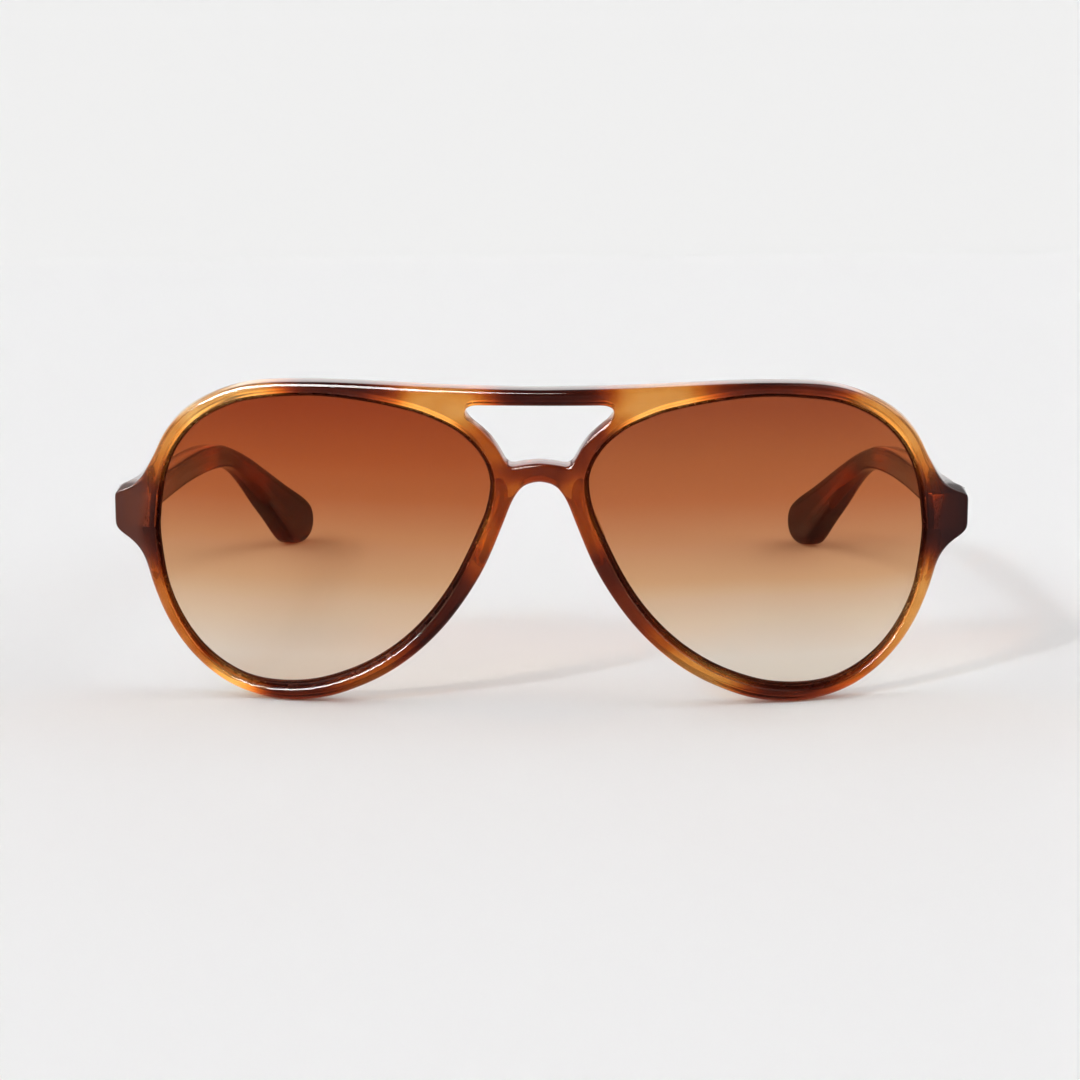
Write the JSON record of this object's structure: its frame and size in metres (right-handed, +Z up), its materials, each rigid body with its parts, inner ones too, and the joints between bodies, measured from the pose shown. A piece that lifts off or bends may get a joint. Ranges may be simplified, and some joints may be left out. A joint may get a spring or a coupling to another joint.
{
  "type": "aviator sunglasses",
  "caption": "Pilot-shape sunglasses: wrapped tortoise plastic front with a brow bar and keyhole bridge, gradient brown lenses and folding temples.",
  "frame": {"origin": "middle of the box round the open glasses, on the plane that the rims' lowest points and the temple tips rest on", "axes": "+X towards the wearer's left, +Y from the front back along the temples, +Z up"},
  "size_m": [0.1468, 0.1559, 0.0562],
  "materials": {
    "tortoise_front": "polished translucent tortoise",
    "tortoise_temple": "polished translucent dark tortoise",
    "lens": "brown tint, darker at the top",
    "nose_pad": "polished",
    "hinge_metal": "satin nickel",
    "screw_steel": "turned",
    "core_wire": "drawn nickel silver"
  },
  "bodies": {
    "front": {"front_frame": "tortoise_front", "left_lens": "lens", "right_lens": "lens", "left_nose_pad": "nose_pad", "right_nose_pad": "nose_pad", "left_front_hinge": "hinge_metal", "right_front_hinge": "hinge_metal", "left_hinge_screw": "screw_steel", "right_hinge_screw": "screw_steel"},
    "left_arm": {"left_temple": "tortoise_temple", "left_temple_hinge": "hinge_metal", "left_core_wire": "core_wire"},
    "right_arm": {"right_temple": "tortoise_temple", "right_temple_hinge": "hinge_metal", "right_core_wire": "core_wire"}
  },
  "joints": [
    {"name": "left_fold", "type": "hinge", "parent": "front", "child": "left_arm", "pos_m": [0.0678, -0.05295, 0.0313], "axis": [0, 0.0698, 0.9976], "range_deg": [0, 83]},
    {"name": "right_fold", "type": "hinge", "parent": "front", "child": "right_arm", "pos_m": [-0.0678, -0.05295, 0.0313], "axis": [0, -0.0698, -0.9976], "range_deg": [0, 72]}
  ]
}
